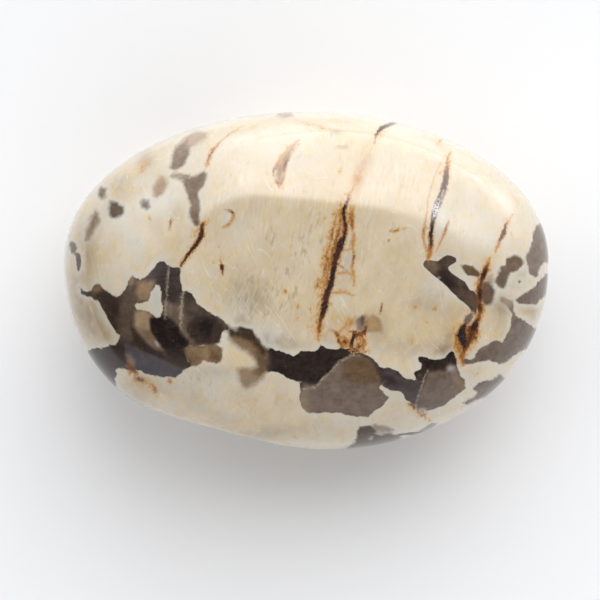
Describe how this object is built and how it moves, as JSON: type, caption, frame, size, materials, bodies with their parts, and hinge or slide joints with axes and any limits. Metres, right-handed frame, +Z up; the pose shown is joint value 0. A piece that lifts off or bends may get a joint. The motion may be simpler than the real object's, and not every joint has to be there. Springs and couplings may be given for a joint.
{
  "type": "polished feldspar pebble",
  "caption": "Polished palm-sized feldspar pebble with grey quartz patches and rust-brown veins, resting on a small flat.",
  "frame": {"origin": "on the plane of the small flat it rests on, under the middle of its box", "axes": "+X along the stone's length, +Y across its broad face, +Z up out of the broad face"},
  "size_m": [0.075, 0.0522, 0.0329],
  "materials": {
    "feldspar": "polished"
  },
  "bodies": {
    "root": {"pebble": "feldspar"}
  },
  "joints": []
}
